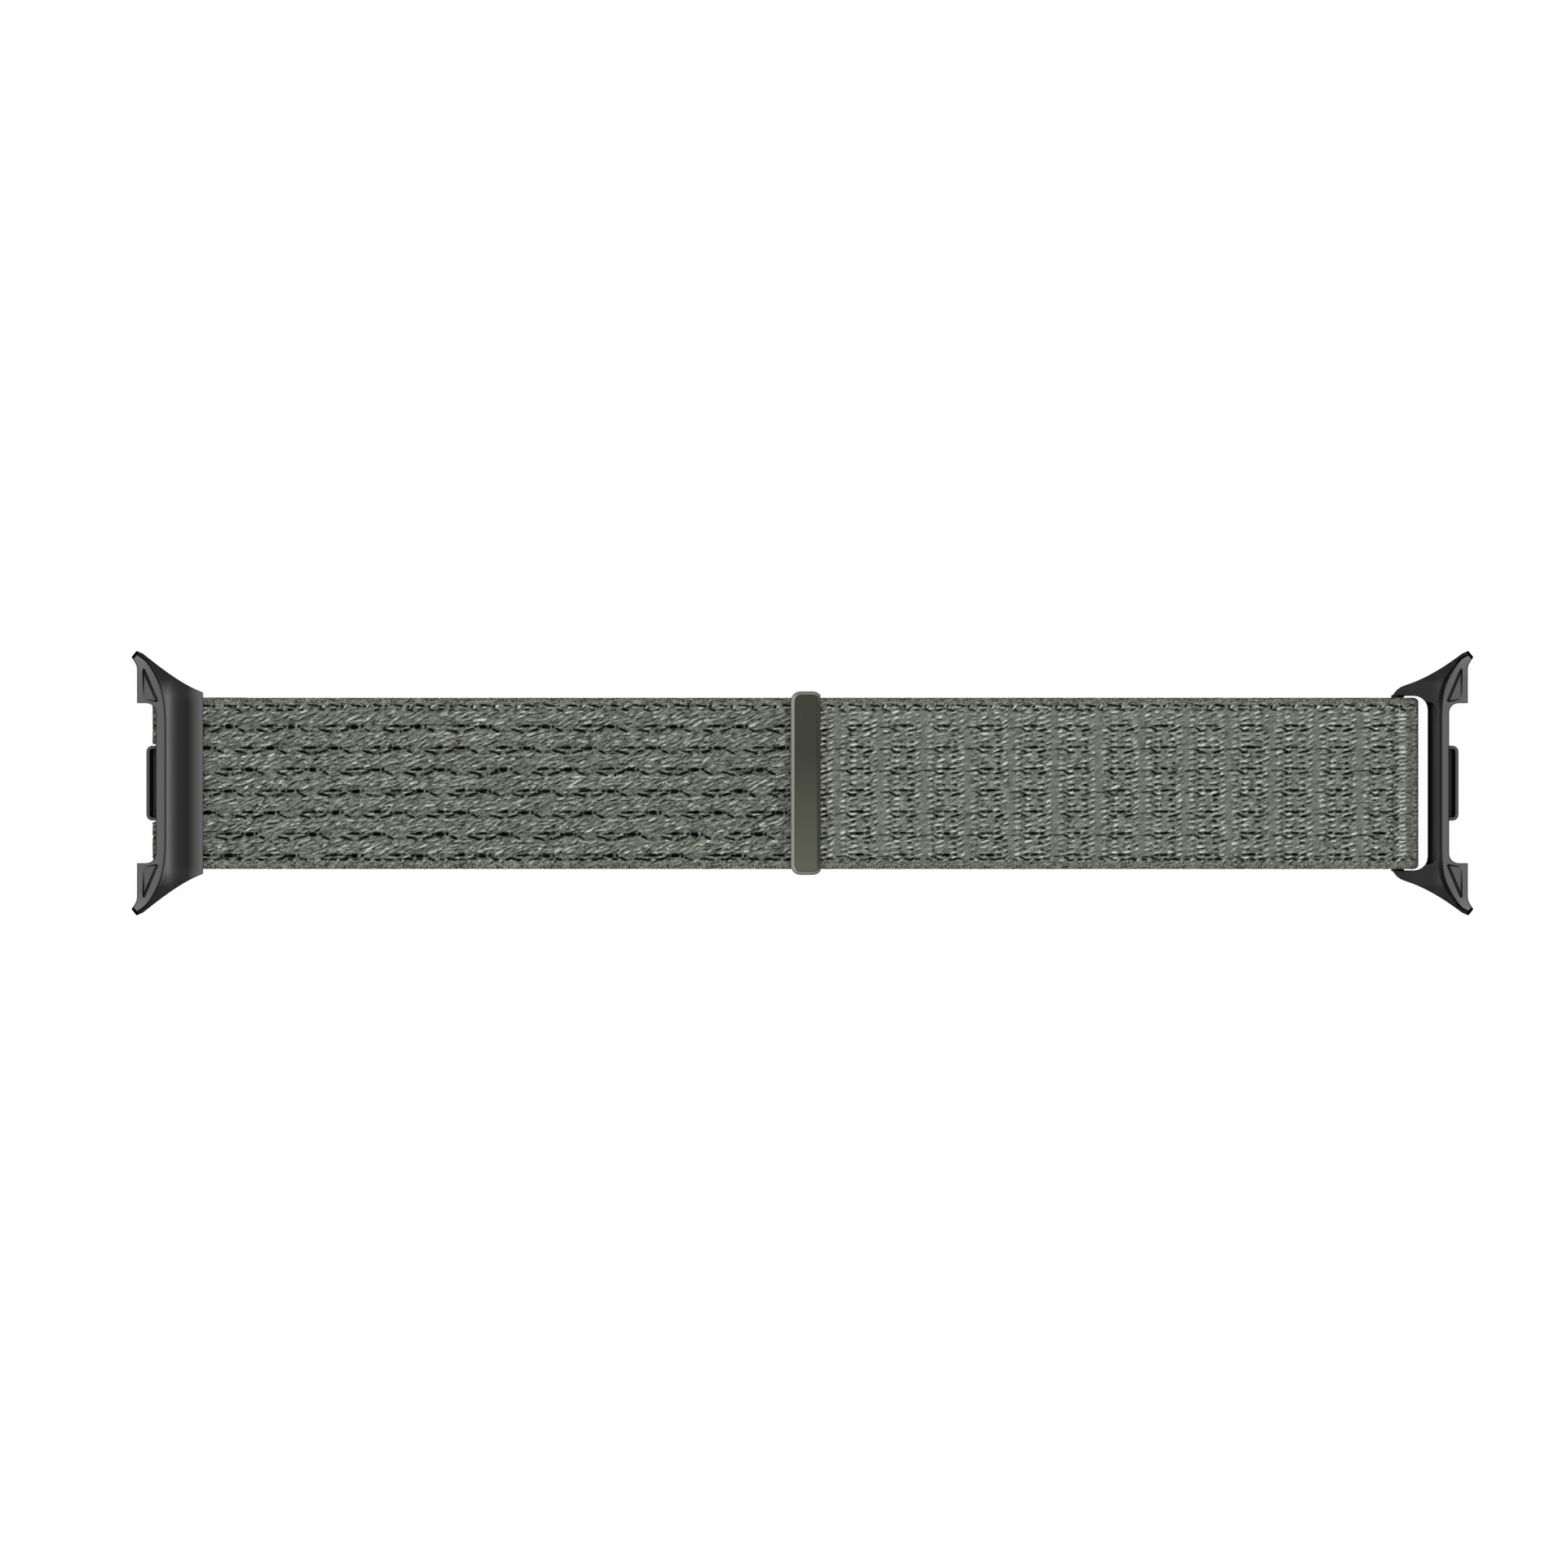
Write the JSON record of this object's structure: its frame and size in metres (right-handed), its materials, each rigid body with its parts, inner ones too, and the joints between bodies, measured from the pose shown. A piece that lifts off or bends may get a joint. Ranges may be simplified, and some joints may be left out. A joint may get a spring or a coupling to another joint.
{
  "type": "nylon watch strap",
  "caption": "Closed nylon watch strap with horned quick-release connectors, a webbing loop over a crossbar and a hook-backed return end in a metal clasp.",
  "frame": {"origin": "under the middle of the closed strap, on the surface that it lies on", "axes": "+X along the strap towards the end with the crossbar, +Y across it, +Z out of its outer face"},
  "size_m": [0.1572, 0.031, 0.0055],
  "materials": {
    "webbing": "woven nylon",
    "hook_nylon": "moulded hooks",
    "black_metal": "satin",
    "steel": "brushed",
    "spring_steel": "drawn wire",
    "olive_metal": "satin"
  },
  "bodies": {
    "lower_strap": {"strap_lower_run": "webbing", "strap_lower_feed": "webbing"},
    "left_connector": {"left_connector_shell": "black_metal", "left_strap_pin_far": "steel", "left_strap_pin_near": "steel", "left_latch_frame": "black_metal", "left_back_plate": "black_metal", "left_plate_screw_far": "steel", "left_plate_screw_near": "steel"},
    "left_latch": {"left_latch_bolt": "black_metal", "left_release_button": "black_metal", "left_latch_spring_far": "spring_steel", "left_latch_spring_near": "spring_steel"},
    "right_loop": {"strap_fold": "webbing"},
    "right_connector": {"right_connector_frame": "black_metal", "right_latch_frame": "black_metal", "right_back_plate": "black_metal", "right_plate_screw_far": "steel", "right_plate_screw_near": "steel"},
    "right_latch": {"right_latch_bolt": "black_metal", "right_release_button": "black_metal", "right_latch_spring_far": "spring_steel", "right_latch_spring_near": "spring_steel"},
    "return_flap": {"strap_return_bend": "webbing"},
    "end_clasp": {"strap_return_end": "webbing", "hook_pad": "hook_nylon", "clasp_cover": "olive_metal", "clasp_base_plate": "olive_metal", "clasp_pin_far": "steel", "clasp_pin_near": "steel"}
  },
  "joints": [
    {"name": "left_swivel", "type": "hinge", "parent": "lower_strap", "child": "left_connector", "pos_m": [-0.0744, 0, 0.0019], "axis": [0, -1, 0], "range_deg": [0, 55]},
    {"name": "left_latch_press", "type": "slide", "parent": "left_connector", "child": "left_latch", "axis": [0, 0, 1], "range_m": [0, 0.0006], "stiffness_N_per_m": 400, "springref_m": -0.001, "deforming": ["left_latch_spring_far", "left_latch_spring_near"]},
    {"name": "size_adjust", "type": "slide", "parent": "lower_strap", "child": "right_loop", "axis": [1, 0, 0], "range_m": [-0.03, 0.02], "deforming": ["strap_lower_feed"]},
    {"name": "right_swivel", "type": "hinge", "parent": "right_loop", "child": "right_connector", "pos_m": [0.06965, 0, 0.0024], "axis": [0, 1, 0], "range_deg": [-15, 75]},
    {"name": "right_latch_press", "type": "slide", "parent": "right_connector", "child": "right_latch", "axis": [0, 0, 1], "range_m": [0, 0.0006], "stiffness_N_per_m": 400, "springref_m": -0.001, "deforming": ["right_latch_spring_far", "right_latch_spring_near"]},
    {"name": "flap_peel", "type": "hinge", "parent": "right_loop", "child": "return_flap", "pos_m": [0.06965, 0, 0.0024], "axis": [0, 1, 0], "range_deg": [0, 80], "deforming": ["strap_return_bend"]},
    {"name": "clasp_feed", "type": "slide", "parent": "return_flap", "child": "end_clasp", "axis": [1, 0, 0], "range_m": [-0.03, 0.02]}
  ],
  "couplings": [
    {"joint": "clasp_feed", "follows": "size_adjust", "ratio": 1}
  ]
}
